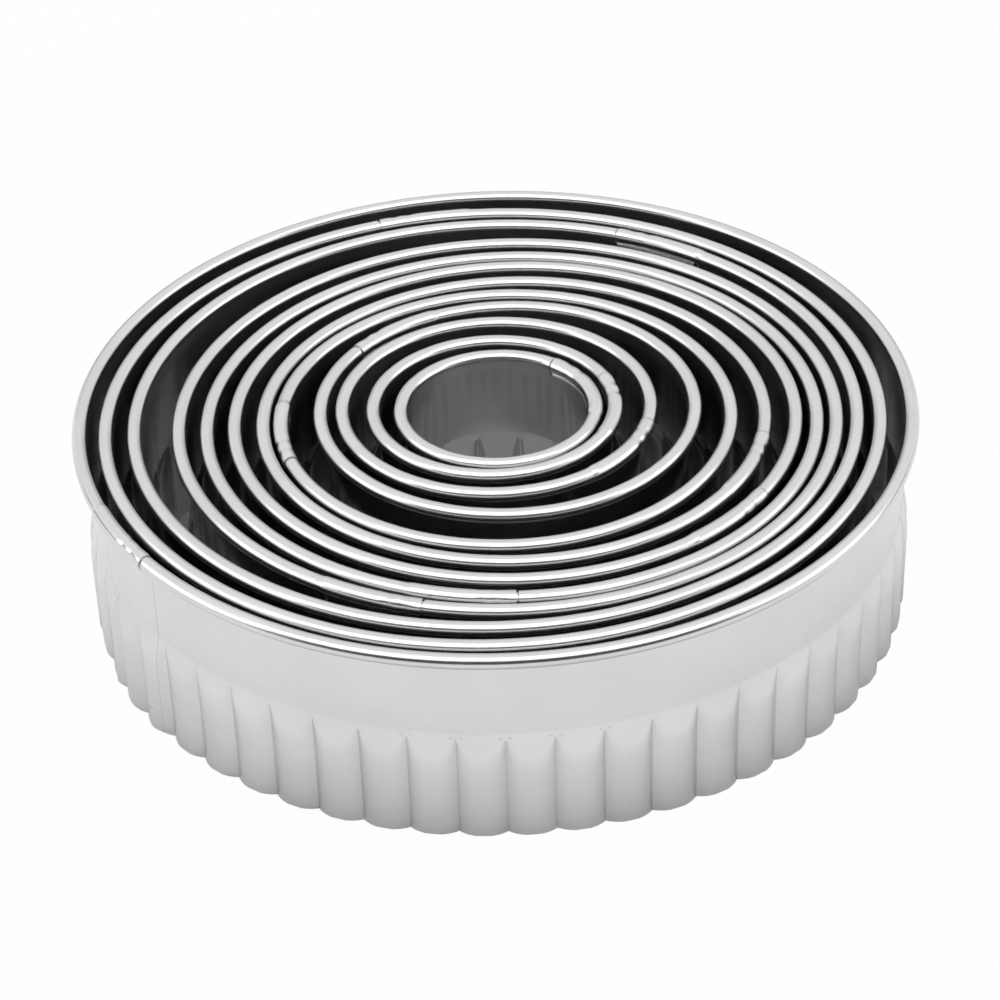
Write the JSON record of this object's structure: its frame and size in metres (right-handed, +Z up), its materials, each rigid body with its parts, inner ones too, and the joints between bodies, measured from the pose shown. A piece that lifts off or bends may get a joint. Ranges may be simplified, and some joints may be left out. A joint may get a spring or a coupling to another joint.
{
  "type": "biscuit cutter set",
  "caption": "Nest of graded round biscuit cutters: thin polished steel rings with a rolled rim, a plain collar and a fluted skirt ending in the cutting edge, which lift out of each other.",
  "frame": {"origin": "centre of the largest cutter, on the plane of the cutting edges", "axes": "+Z up along the cutters' axes, from the cutting edge to the rolled rim; the picture looks along +Y from the front"},
  "size_m": [0.115, 0.115, 0.0291],
  "materials": {
    "polished_strip": "bright rolled stainless steel, mirror on the rim, faintly drawn on the wall",
    "spot_weld": "small pressed weld mark, slightly duller than the sheet"
  },
  "bodies": {
    "cutter_01": {"cutter_01_strip": "polished_strip", "cutter_01_spot_welds": "spot_weld"},
    "cutter_02": {"cutter_02_strip": "polished_strip", "cutter_02_spot_welds": "spot_weld"},
    "cutter_03": {"cutter_03_strip": "polished_strip", "cutter_03_spot_welds": "spot_weld"},
    "cutter_04": {"cutter_04_strip": "polished_strip", "cutter_04_spot_welds": "spot_weld"},
    "cutter_05": {"cutter_05_strip": "polished_strip", "cutter_05_spot_welds": "spot_weld"},
    "cutter_06": {"cutter_06_strip": "polished_strip", "cutter_06_spot_welds": "spot_weld"},
    "cutter_07": {"cutter_07_strip": "polished_strip", "cutter_07_spot_welds": "spot_weld"},
    "cutter_08": {"cutter_08_strip": "polished_strip", "cutter_08_spot_welds": "spot_weld"},
    "cutter_09": {"cutter_09_strip": "polished_strip", "cutter_09_spot_welds": "spot_weld"},
    "cutter_10": {"cutter_10_strip": "polished_strip", "cutter_10_spot_welds": "spot_weld"},
    "cutter_11": {"cutter_11_strip": "polished_strip", "cutter_11_spot_welds": "spot_weld"},
    "cutter_12": {"cutter_12_strip": "polished_strip", "cutter_12_spot_welds": "spot_weld"}
  },
  "joints": [
    {"name": "lift_02", "type": "slide", "parent": "cutter_01", "child": "cutter_02", "axis": [0, 0, 1], "range_m": [0, 0.03]},
    {"name": "lift_03", "type": "slide", "parent": "cutter_01", "child": "cutter_03", "axis": [0, 0, 1], "range_m": [0, 0.03]},
    {"name": "lift_04", "type": "slide", "parent": "cutter_01", "child": "cutter_04", "axis": [0, 0, 1], "range_m": [0, 0.03]},
    {"name": "lift_05", "type": "slide", "parent": "cutter_01", "child": "cutter_05", "axis": [0, 0, 1], "range_m": [0, 0.03]},
    {"name": "lift_06", "type": "slide", "parent": "cutter_01", "child": "cutter_06", "axis": [0, 0, 1], "range_m": [0, 0.03]},
    {"name": "lift_07", "type": "slide", "parent": "cutter_01", "child": "cutter_07", "axis": [0, 0, 1], "range_m": [0, 0.03]},
    {"name": "lift_08", "type": "slide", "parent": "cutter_01", "child": "cutter_08", "axis": [0, 0, 1], "range_m": [0, 0.03]},
    {"name": "lift_09", "type": "slide", "parent": "cutter_01", "child": "cutter_09", "axis": [0, 0, 1], "range_m": [0, 0.03]},
    {"name": "lift_10", "type": "slide", "parent": "cutter_01", "child": "cutter_10", "axis": [0, 0, 1], "range_m": [0, 0.03]},
    {"name": "lift_11", "type": "slide", "parent": "cutter_01", "child": "cutter_11", "axis": [0, 0, 1], "range_m": [0, 0.03]},
    {"name": "lift_12", "type": "slide", "parent": "cutter_01", "child": "cutter_12", "axis": [0, 0, 1], "range_m": [0, 0.03]}
  ]
}
